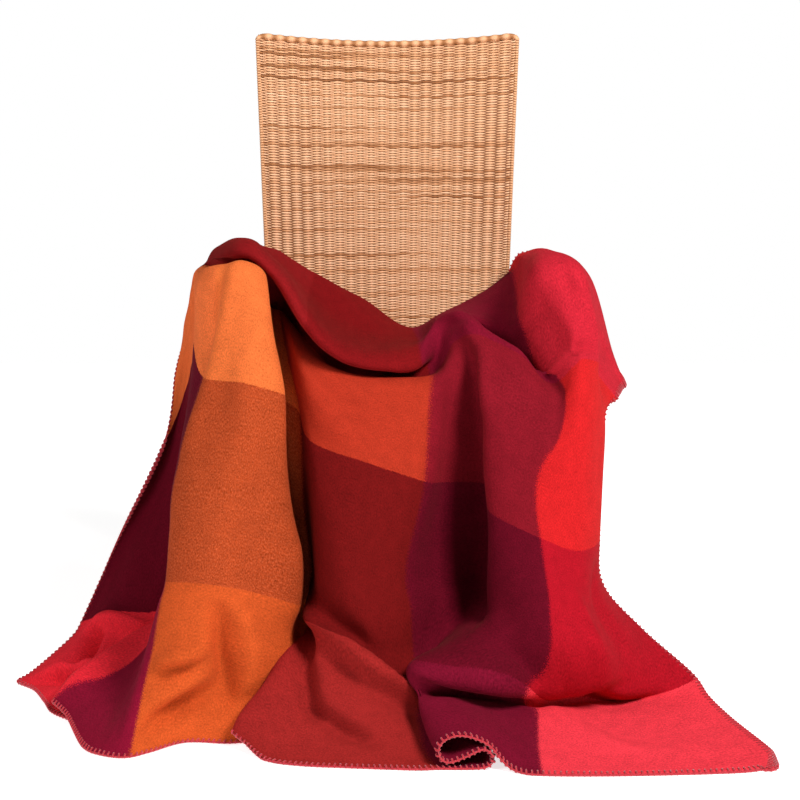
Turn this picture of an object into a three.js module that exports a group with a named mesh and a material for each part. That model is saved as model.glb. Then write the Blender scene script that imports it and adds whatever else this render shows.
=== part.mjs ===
// A large-check wool blanket thrown over a wicker chair: it covers the arms and the seat,
// falls in front to the floor and spreads there in a few uneven pleats.
// Millimetres, +Z up. X runs across the chair, the sitter looks along -Y.
import * as THREE from 'three';
import { RoundedBoxGeometry } from 'three/addons/geometries/RoundedBoxGeometry.js';

// Blanket: across runs along the front hem, along runs from the front hem to the back one.
const BLANKET_THICKNESS = 4;
const CHECKS_ACROSS = 6;
const QUADS_ACROSS = 74;

// Chair.
const SEAT_TOP = 440;
const SEAT_THICKNESS = 45;
const SEAT_FRONT = -150;
const SEAT_REAR = 206;
const ARM_TOP = 594;
const ARM_HEIGHT = 34;
const ARM_WIDTH = 44;
const ARM_MIDDLE = 232;
const ARM_FRONT = -170;
const ARM_REAR = 215;
const ROUNDING = 9;
const POST_RADIUS = 15;
const POST_INSET = 28;
const POST_SIDES = 20;
const RAIL_RADIUS = 9;
const RAIL_LEVEL = 150;
const BACK_TOP = 952;
const BACK_DIP = 14;
const BACK_FOOT_HALF_WIDTH = 188;
const BACK_TOP_HALF_WIDTH = 209;
const BACK_THICKNESS = 22;
const BACK_FOOT_Y = 180;
const BACK_LEAN = 85;
const BACK_HOLLOW = 18;
const BACK_QUADS = 16;
const PIECE_GAP = 0.3;

// How the blanket lies: one row for each line across the cloth, counted in checks from the front hem.
// Steps is how many quads follow before the next row.
// Columns of a point: checks from the left edge, then x, y and z in space.
const LAID_ROWS = [
  { along: 0, steps: 2, points: [
    [0, -552, -115, 2], [0.19, -516, -147, 2], [0.44, -489, -206, 2], [0.63, -471, -250, 2],
    [0.8, -440, -283, 4], [0.87, -436, -276, 14], [1, -468, -258, 21], [1.12, -442, -299, 14],
    [1.45, -405, -395, 3], [1.72, -374, -426, 2], [2, -341, -434, 2], [2.15, -313, -414, 2],
    [2.37, -268, -375, 2], [2.6, -209, -379, 2], [2.78, -163, -366, 3], [2.85, -157, -372, 15],
    [3, -203, -397, 27], [3.08, -186, -412, 15], [3.27, -155, -447, 2], [3.42, -111, -464, 2],
    [3.64, -49, -472, 2], [3.9, 37, -480, 2], [4, 68, -478, 2], [4.11, 105, -478, 2],
    [4.19, 133, -478, 5], [4.23, 142, -478, 17], [4.28, 129, -478, 29], [4.36, 106, -478, 19],
    [4.44, 81, -478, 11], [4.49, 69, -478, 25], [4.55, 78, -478, 42], [4.62, 102, -478, 48],
    [4.72, 134, -478, 36], [4.82, 156, -483, 12], [4.9, 175, -492, 3], [5, 201, -500, 2],
    [5.37, 295, -501, 2], [5.8, 425, -493, 2], [5.95, 505, -480, 2], [6, 523, -445, 2]] },
  { along: 0.25, steps: 3, points: [
    [0, -532, -92, 6], [0.35, -482, -140, 18], [0.63, -440, -205, 14], [0.8, -409, -242, 9],
    [0.88, -410, -228, 28], [1, -444, -224, 47], [1.15, -410, -270, 38], [1.5, -374, -335, 34],
    [1.75, -352, -382, 40], [2, -334, -402, 42], [2.3, -268, -366, 50], [2.6, -198, -358, 44],
    [2.78, -150, -342, 24], [2.86, -142, -346, 40], [3, -186, -384, 56], [3.12, -160, -412, 42],
    [3.4, -95, -435, 22], [3.75, -20, -440, 22], [4, 48, -432, 10], [4.17, 114, -420, 10],
    [4.24, 126, -415, 22], [4.31, 108, -418, 34], [4.42, 74, -426, 27], [4.49, 54, -432, 40],
    [4.57, 68, -440, 59], [4.68, 112, -444, 57], [4.84, 158, -438, 32], [5, 200, -438, 16],
    [5.4, 300, -440, 6], [5.75, 405, -425, 4], [6, 508, -388, 3]] },
  { along: 0.6, steps: 2, points: [
    [0, -500, -55, 26], [0.35, -440, -95, 56], [0.6, -404, -128, 44], [0.85, -372, -142, 40],
    [0.95, -382, -150, 58], [1.05, -392, -165, 76], [1.25, -350, -195, 72], [1.6, -326, -285, 96],
    [2, -320, -350, 118], [2.3, -250, -382, 126], [2.6, -178, -352, 112], [2.78, -130, -300, 86],
    [2.88, -114, -268, 74], [2.98, -120, -276, 95], [3.08, -147, -330, 100], [3.2, -114, -374, 80],
    [3.5, -45, -405, 66], [3.75, 5, -395, 60], [4, 42, -372, 48], [4.18, 92, -345, 40],
    [4.26, 88, -335, 60], [4.36, 52, -366, 74], [4.44, 35, -394, 88], [4.55, 64, -398, 86],
    [4.7, 112, -362, 64], [4.85, 160, -342, 48], [5, 207, -345, 32], [5.4, 300, -368, 14],
    [5.75, 390, -350, 8], [6, 480, -292, 6]] },
  { along: 0.85, steps: 2, points: [
    [0, -472, -36, 50], [0.4, -414, -80, 82], [0.8, -350, -108, 80], [1, -338, -120, 98],
    [1.25, -300, -120, 122], [1.6, -288, -222, 148], [2, -308, -318, 175], [2.3, -245, -362, 184],
    [2.6, -180, -350, 168], [2.78, -136, -290, 132], [2.9, -126, -230, 122], [3.02, -108, -230, 122],
    [3.14, -106, -318, 118], [3.5, -30, -372, 108], [3.75, 8, -366, 98], [4, 42, -345, 88],
    [4.2, 76, -310, 82], [4.29, 70, -306, 100], [4.38, 46, -345, 106], [4.5, 50, -386, 112],
    [4.65, 98, -396, 102], [4.8, 150, -388, 84], [5, 218, -312, 42], [5.4, 310, -240, 14],
    [5.75, 388, -232, 12], [6, 458, -226, 16]] },
  { along: 1, steps: 2, points: [
    [0, -460, -30, 70], [0.45, -400, -70, 95], [0.85, -336, -90, 105], [1.25, -268, -62, 150],
    [1.6, -268, -190, 180], [2, -300, -300, 205], [2.3, -240, -350, 215], [2.6, -180, -335, 200],
    [2.78, -122, -272, 165], [2.9, -122, -198, 152], [3.02, -102, -196, 148], [3.16, -92, -292, 143],
    [3.5, -28, -345, 130], [3.75, 6, -335, 124], [4, 36, -312, 116], [4.3, 80, -270, 112],
    [4.5, 92, -330, 125], [4.65, 125, -350, 126], [4.8, 165, -345, 108], [5, 220, -330, 66],
    [5.4, 300, -300, 44], [5.75, 376, -230, 34], [6, 440, -180, 36]] },
  { along: 1.25, steps: 2, points: [
    [0, -430, -15, 136], [0.45, -378, -30, 170], [0.85, -322, -48, 192], [1.25, -270, -50, 226],
    [1.6, -266, -155, 248], [2, -295, -282, 272], [2.3, -230, -335, 280], [2.6, -172, -318, 266],
    [2.78, -119, -264, 230], [2.9, -126, -180, 218], [3.02, -104, -178, 210], [3.15, -90, -272, 202],
    [3.5, -32, -322, 185], [4, 34, -300, 168], [4.2, 80, -238, 160], [4.36, 132, -186, 152],
    [4.5, 153, -236, 152], [4.58, 140, -290, 152], [4.7, 160, -328, 148], [5, 222, -350, 128],
    [5.4, 296, -322, 108], [5.75, 348, -215, 92], [6, 372, -140, 90]] },
  { along: 1.5, steps: 3, points: [
    [0, -400, 0, 205], [0.45, -355, 12, 248], [0.85, -308, -8, 283], [1.25, -272, -38, 305],
    [1.6, -264, -120, 320], [2, -290, -260, 340], [2.35, -215, -320, 345], [2.6, -166, -300, 335],
    [2.76, -133, -252, 297], [2.9, -138, -166, 284], [3.02, -110, -163, 274], [3.14, -90, -262, 258],
    [3.5, -35, -300, 235], [4, 28, -288, 220], [4.2, 78, -222, 208], [4.36, 134, -168, 196],
    [4.5, 156, -210, 190], [4.58, 142, -265, 190], [4.7, 162, -304, 186], [5, 220, -335, 185],
    [5.4, 275, -310, 170], [5.75, 305, -200, 160], [6, 316, -110, 150]] },
  { along: 2, steps: 4, points: [
    [0, -335, 20, 340], [0.5, -305, 40, 410], [0.9, -288, 20, 462], [1.3, -280, -20, 502],
    [1.6, -274, -95, 516], [1.8, -270, -152, 508], [2, -250, -208, 474], [2.4, -192, -264, 475],
    [2.68, -144, -242, 455], [2.86, -152, -172, 438], [2.98, -124, -170, 420], [3.1, -104, -230, 388],
    [3.5, -30, -262, 365], [4, 52, -250, 335], [4.2, 90, -198, 322], [4.36, 138, -160, 312],
    [4.48, 158, -190, 302], [4.56, 142, -244, 298], [4.68, 158, -276, 288], [5, 215, -300, 265],
    [5.4, 265, -285, 245], [5.75, 300, -190, 235], [6, 312, -80, 225]] },
  { along: 2.65, steps: 3, points: [
    [0, -320, 60, 435], [0.5, -300, 65, 515], [1, -286, 40, 572], [1.3, -280, -10, 590],
    [1.6, -262, -118, 602], [1.8, -256, -192, 614], [2, -232, -238, 622], [2.3, -192, -252, 630],
    [2.55, -163, -230, 612], [2.72, -176, -150, 578], [2.88, -174, -75, 548], [3, -152, -85, 540],
    [3.1, -138, -160, 528], [3.22, -114, -206, 500], [3.5, -50, -214, 470], [4, 60, -206, 460],
    [4.2, 90, -185, 458], [4.35, 126, -166, 452], [4.45, 147, -188, 452], [4.54, 135, -227, 455],
    [4.68, 160, -244, 440], [4.82, 192, -254, 422], [5, 232, -268, 400], [5.3, 272, -262, 410],
    [5.7, 305, -190, 400], [6, 318, -70, 390]] },
  { along: 3, steps: 2, points: [
    [0, -312, 95, 470], [0.5, -302, 82, 535], [1, -288, 57, 588], [1.5, -264, 0, 606],
    [1.75, -246, -100, 611], [2, -214, -146, 611], [2.25, -196, -146, 604], [2.45, -184, -118, 594],
    [2.7, -184, -65, 568], [2.9, -158, -40, 540], [3.05, -134, -90, 530], [3.2, -108, -138, 506],
    [3.5, -52, -140, 462], [4, 62, -140, 462], [4.3, 100, -142, 514], [4.5, 132, -166, 524],
    [4.75, 182, -194, 506], [5, 234, -222, 470], [5.3, 266, -250, 505], [5.6, 293, -200, 492],
    [5.78, 296, -110, 470], [6, 338, -50, 415]] },
  { along: 3.1, steps: 2, points: [
    [0, -312, 108, 455], [0.5, -302, 96, 522], [1, -288, 72, 580], [1.5, -265, 8, 611],
    [1.75, -242, -88, 628], [2, -214, -128, 636], [2.25, -194, -128, 634], [2.45, -180, -108, 624],
    [2.7, -164, -75, 602], [2.9, -142, -62, 574], [3.05, -122, -90, 556], [3.2, -100, -122, 538],
    [3.5, -52, -128, 492], [4, 56, -124, 482], [4.25, 88, -108, 526], [4.45, 120, -132, 540],
    [4.68, 165, -146, 512], [4.9, 208, -168, 484], [5.05, 226, -206, 480], [5.25, 252, -234, 514],
    [5.6, 292, -195, 514], [5.78, 297, -108, 488], [6, 341, -38, 418]] },
  { along: 3.2, steps: 2, points: [
    [0, -313, 122, 440], [0.5, -303, 110, 508], [1, -289, 88, 572], [1.5, -266, 20, 612],
    [1.75, -236, -125, 632], [2, -212, -182, 640], [2.25, -188, -202, 640], [2.5, -160, -209, 617],
    [2.75, -132, -216, 580], [3, -110, -222, 545], [3.25, -82, -226, 515], [3.5, -50, -220, 493],
    [3.75, -2, -206, 483], [4, 48, -176, 486], [4.2, 74, -92, 534], [4.42, 110, -108, 548],
    [4.62, 150, -82, 498], [4.85, 190, -112, 468], [5.05, 220, -184, 478], [5.2, 238, -216, 522],
    [5.35, 262, -232, 542], [5.6, 292, -190, 535], [5.78, 298, -105, 505], [6, 345, -25, 420]] },
  { along: 3.35, steps: 2, points: [
    [0, -314, 143, 412], [0.5, -303, 132, 484], [1, -289, 111, 558], [1.5, -267, 58, 612],
    [1.75, -238, -62, 641], [2, -211, -138, 658], [2.25, -187, -165, 660], [2.5, -160, -178, 640],
    [2.75, -133, -188, 606], [3, -110, -195, 572], [3.25, -82, -200, 540], [3.5, -50, -194, 516],
    [3.75, -2, -178, 504], [4, 46, -138, 508], [4.22, 76, -62, 538], [4.45, 115, -76, 545],
    [4.7, 158, -78, 508], [4.9, 188, -114, 500], [5.1, 208, -175, 545], [5.22, 224, -200, 578],
    [5.38, 254, -208, 588], [5.58, 286, -186, 570], [5.76, 298, -102, 528], [6, 351, -3, 423]] },
  { along: 3.5, steps: 3, points: [
    [0, -315, 165, 385], [0.5, -304, 155, 460], [1, -290, 135, 545], [1.5, -268, 95, 608],
    [1.75, -242, 30, 630], [2, -210, 0, 644], [2.5, -165, 0, 622], [3, -112, 15, 570],
    [3.5, -44, 15, 512], [4, 46, 5, 494], [4.25, 80, -36, 532], [4.5, 122, -46, 540],
    [4.8, 166, -72, 528], [5, 188, -120, 545], [5.15, 198, -165, 598], [5.25, 214, -182, 628],
    [5.4, 246, -182, 630], [5.55, 278, -180, 606], [5.75, 298, -100, 550], [6, 358, 20, 425]] },
  { along: 4, steps: 2, points: [
    [0, -325, 235, 270], [0.5, -312, 228, 365], [1, -296, 214, 480], [1.5, -272, 185, 588],
    [1.75, -242, 160, 616], [2, -210, 130, 626], [2.5, -165, 100, 612], [3, -115, 100, 581],
    [3.5, -38, 130, 540], [4, 35, 146, 494], [4.5, 110, 115, 530], [5, 186, 20, 592],
    [5.15, 203, -15, 624], [5.3, 238, -60, 635], [5.65, 300, -20, 590], [6, 352, 90, 430]] },
  { along: 4.35, steps: 3, points: [
    [0, -328, 275, 205], [0.5, -314, 268, 312], [1, -298, 258, 435], [1.5, -274, 230, 558],
    [1.65, -262, 218, 596], [1.8, -236, 190, 614], [2, -210, 155, 618], [2.25, -186, 146, 600],
    [2.5, -165, 132, 568], [3, -112, 125, 532], [3.5, -35, 145, 484], [4, 38, 148, 464],
    [4.5, 112, 130, 490], [5, 184, 75, 574], [5.15, 201, 50, 610], [5.3, 238, 20, 622],
    [5.65, 305, 45, 572], [6, 345, 120, 425]] },
  { along: 5, steps: 0, points: [
    [0, -320, 320, 140], [0.5, -312, 312, 260], [1, -296, 300, 385], [1.5, -270, 270, 540],
    [1.75, -246, 248, 594], [1.9, -224, 224, 610], [2.1, -200, 188, 608], [2.3, -182, 165, 570],
    [2.5, -162, 122, 512], [3, -95, 20, 457], [3.5, -20, -60, 453], [4, 50, -50, 453],
    [4.5, 120, 40, 460], [5, 182, 150, 560], [5.15, 199, 165, 596], [5.25, 215, 178, 607],
    [5.4, 255, 188, 603], [5.5, 282, 185, 574], [5.65, 308, 175, 520], [6, 332, 170, 415]] },
];

// Smooth curve through four values, at t of the way from b to c.
function throughFour(a, b, c, d, t) {
  const bend = 2 * a - 5 * b + 4 * c - d;
  const twist = 3 * b - a - 3 * c + d;
  return b + 0.5 * t * (c - a + t * (bend + t * twist));
}

// Index of the entry that a place lies after, and the places before, at, after and two after it.
function around(count, isPast) {
  let k = 0;
  while (k < count - 2 && isPast(k + 1)) {
    k += 1;
  }
  return [Math.max(k - 1, 0), k, k + 1, Math.min(k + 2, count - 1)];
}

// Point of a laid row at a place across the cloth.
function acrossRow(row, column) {
  const places = row.points;
  const [before, from, to, after] = around(places.length, (k) => places[k][0] <= column)
    .map((k) => places[k]);
  const t = (column - from[0]) / (to[0] - from[0]);
  return [1, 2, 3].map((axis) => throughFour(before[axis], from[axis], to[axis], after[axis], t));
}

// Point of the middle of the cloth: curves across the laid rows, then one curve along.
function laidPoint(column, along) {
  const near = around(LAID_ROWS.length, (k) => LAID_ROWS[k].along <= along);
  const [from, to] = [LAID_ROWS[near[1]].along, LAID_ROWS[near[2]].along];
  const t = (along - from) / (to - from);
  const [a, b, c, d] = near.map((k) => acrossRow(LAID_ROWS[k], column));
  const [x, y, z] = [0, 1, 2].map((axis) => throughFour(a[axis], b[axis], c[axis], d[axis], t));
  return new THREE.Vector3(x, y, Math.max(z, BLANKET_THICKNESS / 2));
}

// A closed sheet: its face, its underside and the rim that joins them.
function closedSheet(columns, rows, middle, halfThickness) {
  const face = [];
  const underside = [];
  for (let j = 0; j <= rows; j += 1) {
    for (let i = 0; i <= columns; i += 1) {
      const half = halfThickness(i, j);
      face.push(middle(i, j).add(half));
      underside.push(middle(i, j).sub(half));
    }
  }
  const vertices = [...face, ...underside].flatMap((p) => [p.x, p.y, Math.max(p.z, 0)]);
  const under = face.length;
  const at = (i, j) => j * (columns + 1) + i;
  const triangles = [];
  const quad = (a, b, c, d) => triangles.push(a, b, c, a, c, d);
  for (let j = 0; j < rows; j += 1) {
    for (let i = 0; i < columns; i += 1) {
      const [a, b, c, d] = [at(i, j), at(i + 1, j), at(i + 1, j + 1), at(i, j + 1)];
      quad(a, b, c, d);
      quad(under + a, under + d, under + c, under + b);
    }
  }
  const rim = (a, b) => quad(a, under + a, under + b, b);
  for (let i = 0; i < columns; i += 1) {
    rim(at(i, 0), at(i + 1, 0));
    rim(at(i + 1, rows), at(i, rows));
  }
  for (let j = 0; j < rows; j += 1) {
    rim(at(columns, j), at(columns, j + 1));
    rim(at(0, j + 1), at(0, j));
  }
  const geometry = new THREE.BufferGeometry();
  geometry.setAttribute('position', new THREE.Float32BufferAttribute(vertices, 3));
  geometry.setIndex(triangles);
  geometry.computeVertexNormals();
  return geometry;
}

// Places along the cloth of the lines of quads, evenly between each laid row and the next.
const ALONG_PLACES = LAID_ROWS.flatMap(({ along, steps }, k) => {
  const gap = k + 1 < LAID_ROWS.length ? LAID_ROWS[k + 1].along - along : 0;
  return Array.from({ length: Math.max(steps, 1) }, (_, n) => along + (gap * n) / Math.max(steps, 1));
});

function blanketGeometry() {
  const quadsAlong = ALONG_PLACES.length - 1;
  const middle = (i, j) => laidPoint((CHECKS_ACROSS * i) / QUADS_ACROSS, ALONG_PLACES[j]);
  const limit = (value, top) => Math.min(Math.max(value, 0), top);
  const halfThickness = (i, j) => {
    const acrossWay = middle(limit(i + 1, QUADS_ACROSS), j).sub(middle(limit(i - 1, QUADS_ACROSS), j));
    const alongWay = middle(i, limit(j + 1, quadsAlong)).sub(middle(i, limit(j - 1, quadsAlong)));
    return acrossWay.cross(alongWay).normalize().multiplyScalar(BLANKET_THICKNESS / 2);
  };
  return closedSheet(QUADS_ACROSS, quadsAlong, middle, halfThickness);
}

// Back panel: wider at the top, leaning back, hollow from side to side, its top edge dipped.
function backGeometry() {
  const foot = SEAT_TOP + PIECE_GAP;
  const middle = (i, j) => {
    const side = (2 * i) / BACK_QUADS - 1;
    const up = j / BACK_QUADS;
    const halfWidth = BACK_FOOT_HALF_WIDTH + (BACK_TOP_HALF_WIDTH - BACK_FOOT_HALF_WIDTH) * up;
    const top = BACK_TOP - BACK_DIP * (1 - side * side);
    const y = BACK_FOOT_Y + BACK_THICKNESS / 2 + up * (BACK_LEAN - BACK_HOLLOW * side * side);
    return new THREE.Vector3(side * halfWidth, y, foot + up * (top - foot));
  };
  const halfThickness = () => new THREE.Vector3(0, -BACK_THICKNESS / 2, 0);
  return closedSheet(BACK_QUADS, BACK_QUADS, middle, halfThickness);
}

const roundedBlock = (width, depth, height, x, y, z) =>
  new RoundedBoxGeometry(width, depth, height, 2, ROUNDING).translate(x, y, z);
const upright = (radius, height, x, y, foot) =>
  new THREE.CylinderGeometry(radius, radius, height, POST_SIDES)
    .rotateX(Math.PI / 2).translate(x, y, foot + height / 2);

const frontPostY = ARM_FRONT + POST_INSET;
const rearPostY = ARM_REAR - POST_INSET;
const postHeight = ARM_TOP - ARM_HEIGHT - PIECE_GAP;
const seatWidth = 2 * (ARM_MIDDLE - POST_RADIUS - PIECE_GAP);
const armLength = ARM_REAR - ARM_FRONT;
const armMiddleY = (ARM_FRONT + ARM_REAR) / 2;
const armMiddleZ = ARM_TOP - ARM_HEIGHT / 2;
const sideRailLength = rearPostY - frontPostY - 2 * (POST_RADIUS + PIECE_GAP);
const crossRailLength = 2 * (ARM_MIDDLE - RAIL_RADIUS - PIECE_GAP);
const seatMiddleY = (SEAT_FRONT + SEAT_REAR) / 2;

const armGeometry = (side) =>
  roundedBlock(ARM_WIDTH, armLength, ARM_HEIGHT, side * ARM_MIDDLE, armMiddleY, armMiddleZ);
const postGeometry = (side, y) => upright(POST_RADIUS, postHeight, side * ARM_MIDDLE, y, 0);
const sideRailGeometry = (side) =>
  new THREE.CylinderGeometry(RAIL_RADIUS, RAIL_RADIUS, sideRailLength, POST_SIDES)
    .translate(side * ARM_MIDDLE, (frontPostY + rearPostY) / 2, RAIL_LEVEL);
const crossRailGeometry = () =>
  new THREE.CylinderGeometry(RAIL_RADIUS, RAIL_RADIUS, crossRailLength, POST_SIDES)
    .rotateZ(Math.PI / 2).translate(0, (frontPostY + rearPostY) / 2, RAIL_LEVEL);
const seatGeometry = () =>
  roundedBlock(
    seatWidth, SEAT_REAR - SEAT_FRONT, SEAT_THICKNESS, 0, seatMiddleY, SEAT_TOP - SEAT_THICKNESS / 2);

const wool = { color: 0x9b2230, roughness: 0.95, metalness: 0 };
const wicker = { color: 0xe0a873, roughness: 0.6, metalness: 0 };
const cane = { color: 0xc08a55, roughness: 0.55, metalness: 0 };
const PIECES = [
  { name: 'blanket', geometry: blanketGeometry(), finish: wool },
  { name: 'back_panel', geometry: backGeometry(), finish: wicker },
  { name: 'seat', geometry: seatGeometry(), finish: wicker },
  { name: 'arm_left', geometry: armGeometry(-1), finish: wicker },
  { name: 'arm_right', geometry: armGeometry(1), finish: wicker },
  { name: 'post_front_left', geometry: postGeometry(-1, frontPostY), finish: cane },
  { name: 'post_front_right', geometry: postGeometry(1, frontPostY), finish: cane },
  { name: 'post_rear_left', geometry: postGeometry(-1, rearPostY), finish: cane },
  { name: 'post_rear_right', geometry: postGeometry(1, rearPostY), finish: cane },
  { name: 'rail_left', geometry: sideRailGeometry(-1), finish: cane },
  { name: 'rail_right', geometry: sideRailGeometry(1), finish: cane },
  { name: 'rail_cross', geometry: crossRailGeometry(), finish: cane },
];

const group = new THREE.Group();
group.name = 'blanket_on_chair';
for (const piece of PIECES) {
  const mesh = new THREE.Mesh(piece.geometry, new THREE.MeshStandardMaterial(piece.finish));
  mesh.name = piece.name;
  group.add(mesh);
}

// The origin is under the middle of everything, on the floor.
const box = new THREE.Box3().setFromObject(group);
const middle = box.getCenter(new THREE.Vector3());
for (const piece of PIECES) {
  piece.geometry.translate(-middle.x, -middle.y, -box.min.z);
}

export default group;
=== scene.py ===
# %% [markdown]
# # A checked wool blanket on a wicker chair
#
# A thick wool blanket in large checks is thrown over a chair with arms. It covers the arms and the seat,
# falls in front to the floor and spreads there in a few pleats, and the woven back of the chair stands
# up behind it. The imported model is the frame: every piece made here lies on one of its solids.

# %% Load the frame
import bpy
import numpy as np
from mathutils import Euler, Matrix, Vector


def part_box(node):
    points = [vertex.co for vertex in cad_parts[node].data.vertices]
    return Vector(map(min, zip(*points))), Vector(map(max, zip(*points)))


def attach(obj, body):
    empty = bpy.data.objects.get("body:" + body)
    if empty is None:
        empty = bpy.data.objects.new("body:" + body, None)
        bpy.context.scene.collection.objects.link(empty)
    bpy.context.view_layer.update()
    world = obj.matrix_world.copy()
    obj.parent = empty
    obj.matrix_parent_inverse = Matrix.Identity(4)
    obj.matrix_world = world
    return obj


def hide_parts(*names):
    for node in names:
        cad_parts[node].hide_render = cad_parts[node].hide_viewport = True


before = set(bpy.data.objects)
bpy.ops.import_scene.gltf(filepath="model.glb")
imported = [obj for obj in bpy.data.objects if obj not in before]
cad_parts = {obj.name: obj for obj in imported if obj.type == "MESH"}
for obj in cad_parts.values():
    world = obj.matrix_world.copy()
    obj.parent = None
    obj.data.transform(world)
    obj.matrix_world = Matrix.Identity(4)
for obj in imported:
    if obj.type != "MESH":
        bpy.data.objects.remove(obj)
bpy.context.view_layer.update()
print("solids:", ", ".join(sorted(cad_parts)))

# %% [markdown]
# ## Where the chair stands
#
# The model's origin is under the middle of everything, and the blanket spreads unevenly, so the chair
# isn't on it. The drape is easier to write down from the chair: its seat's middle line is x = 0, and its
# seat starts 150 mm before y = 0. The seat's own box tells how far that point is from the origin.

# %% The chair's place
MM = 0.001
SEAT_FRONT = -150
seat_low, seat_high = (np.array(corner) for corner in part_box("seat"))
chair = np.array([(seat_low[0] + seat_high[0]) / 2, seat_low[1] - SEAT_FRONT * MM, 0.0])
print("chair is at", chair.round(4).tolist())

# %% [markdown]
# ## Camera
#
# The photograph is taken from the front, a little above the arms. The seat's top is hidden and the hem on
# the floor is seen at a flat angle, which puts the camera about three metres away, looking 10 degrees down.

# %% Camera
CAMERA_PLACE = (20, -3000, 934)
CAMERA_PITCH = 10
CAMERA_LENS = 91.5
camera_data = bpy.data.cameras.new("camera")
camera_data.lens = CAMERA_LENS
camera_data.sensor_width = 36
camera = bpy.data.objects.new("camera", camera_data)
camera.location = chair + np.array(CAMERA_PLACE) * MM
camera.rotation_euler = Euler((np.radians(90 - CAMERA_PITCH), 0, 0))
bpy.context.scene.collection.objects.link(camera)
bpy.context.scene.camera = camera
print("camera at", [round(v, 3) for v in camera.location])

# %% [markdown]
# ## Two tools for shapes
#
# Every shape below is worked out as whole arrays of numbers and then put into a mesh. A sheet is a grid of
# points with a face and an underside. A yarn, a cane or a wicker strand is a ring carried along a path.

# %% Shapes into meshes
def add_piece(name, points, faces, material, **attributes):
    """One object at the origin from points in metres and faces as rows of corner numbers."""
    mesh = bpy.data.meshes.new(name)
    mesh.from_pydata(points.reshape(-1, 3), [], [row for block in faces for row in block.tolist()])
    mesh.polygons.foreach_set("use_smooth", np.ones(len(mesh.polygons), bool))
    for label, values in attributes.items():
        layer = mesh.attributes.new(label, "FLOAT_VECTOR", "POINT")
        layer.data.foreach_set("vector", np.ascontiguousarray(values, dtype=np.float32).ravel())
    mesh.materials.append(material)
    mesh.update()
    piece = bpy.data.objects.new(name, mesh)
    bpy.context.scene.collection.objects.link(piece)
    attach(piece, "root")
    triangles = sum((block.shape[1] - 2) * len(block) for block in faces)
    print(f"{name}: {len(mesh.vertices)} points, {triangles} triangles")
    return piece


def unit(vectors):
    """The same directions, each one long."""
    return vectors / np.maximum(np.linalg.norm(vectors, axis=-1, keepdims=True), 1e-9)


def tubes(paths, lift, wide, high, sides):
    """Tubes along paths of shape (tubes, points, 3). Each ring is an ellipse across the path's way:
    half width `wide` at right angles to `lift`, half height `high` towards it."""
    way = unit(np.gradient(paths, axis=1))
    level = unit(np.cross(way, np.broadcast_to(lift, paths.shape)))
    raised = np.cross(way, level)
    turn = 2 * np.pi * np.arange(sides) / sides
    wide, high = (np.broadcast_to(size, paths.shape[:2])[..., None, None] for size in (wide, high))
    ring = (wide * np.cos(turn)[:, None] * level[:, :, None]
            + high * np.sin(turn)[:, None] * raised[:, :, None])
    points = paths[:, :, None] + ring
    corner = np.arange(points[..., 0].size).reshape(points.shape[:3])
    beside = np.roll(corner, -1, axis=2)
    walls = np.stack([corner[:, :-1], beside[:, :-1], beside[:, 1:], corner[:, 1:]], axis=-1)
    ends = np.concatenate([corner[:, 0, ::-1], corner[:, -1]])
    return points, [walls.reshape(-1, 4), ends]

# %% [markdown]
# ## Shader sums
#
# A finish is a set of sums on the place on the cloth or the cane. Writing the sums as Python expressions
# keeps them readable: one small class stands for a value in the material, and each operator adds a node.

# %% Shader sums
class Value:
    """A socket of a material's nodes. Operators add Math nodes, and node() adds any other node."""

    def __init__(self, tree, socket):
        self.tree = tree
        self.socket = socket

    def node(self, kind, settings=None, sockets=None, output=0):
        made = self.tree.nodes.new(kind)
        for name, setting in (settings or {}).items():
            setattr(made, name, setting)
        for name, given in (sockets or {}).items():
            if isinstance(given, Value):
                self.tree.links.new(given.socket, made.inputs[name])
            else:
                made.inputs[name].default_value = given
        return Value(self.tree, made.outputs[output])

    def math(self, operation, first, second=0.0):
        return self.node("ShaderNodeMath", {"operation": operation}, {0: first, 1: second})

    def __add__(self, other):
        return self.math("ADD", self, other)

    __radd__ = __add__

    def __sub__(self, other):
        return self.math("SUBTRACT", self, other)

    def __rsub__(self, other):
        return self.math("SUBTRACT", other, self)

    def __mul__(self, other):
        return self.math("MULTIPLY", self, other)

    __rmul__ = __mul__

    def above(self, other):
        return self.math("GREATER_THAN", self, other)

    def wave(self):
        return self.math("SINE", self)

    def noise(self, scale, detail=2.0, stretch=(1, 1, 1), output="Fac"):
        """Smooth random values at this place, so many to a unit, finer where stretched."""
        place = self.node("ShaderNodeVectorMath", {"operation": "MULTIPLY"}, {0: self, 1: stretch})
        return self.node("ShaderNodeTexNoise", None,
                         {"Vector": place, "Scale": scale, "Detail": detail}, output)

    def parts(self):
        split = self.node("ShaderNodeSeparateXYZ", None, {0: self})
        outputs = split.socket.node.outputs
        return [Value(self.tree, outputs[axis]) for axis in range(3)]

    def ramp(self, stops, interpolation="LINEAR"):
        """The colour for this value, from stops of a value and a screen colour."""
        made = self.node("ShaderNodeValToRGB", None, {0: self})
        scale = made.socket.node.color_ramp
        scale.interpolation = interpolation
        while len(scale.elements) < len(stops):
            scale.elements.new(1.0)
        for stop, (place, colour) in zip(scale.elements, stops):
            stop.position = place
            stop.color = linear(*colour)
        return made

    def mixed(self, other, factor):
        return self.node("ShaderNodeMix", {"data_type": "RGBA"}, {0: factor, 6: self, 7: other}, 2)

    def brightened(self, factor):
        return self.node("ShaderNodeHueSaturation", None, {"Value": factor, "Color": self})


def new_finish(name, constants):
    """A material with one shader. The constants are set on the shader's own sockets."""
    material = bpy.data.materials.new(name)
    material.use_nodes = True
    shader = material.node_tree.nodes["Principled BSDF"]
    for socket, constant in constants.items():
        shader.inputs[socket].default_value = constant
    return material, shader


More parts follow.
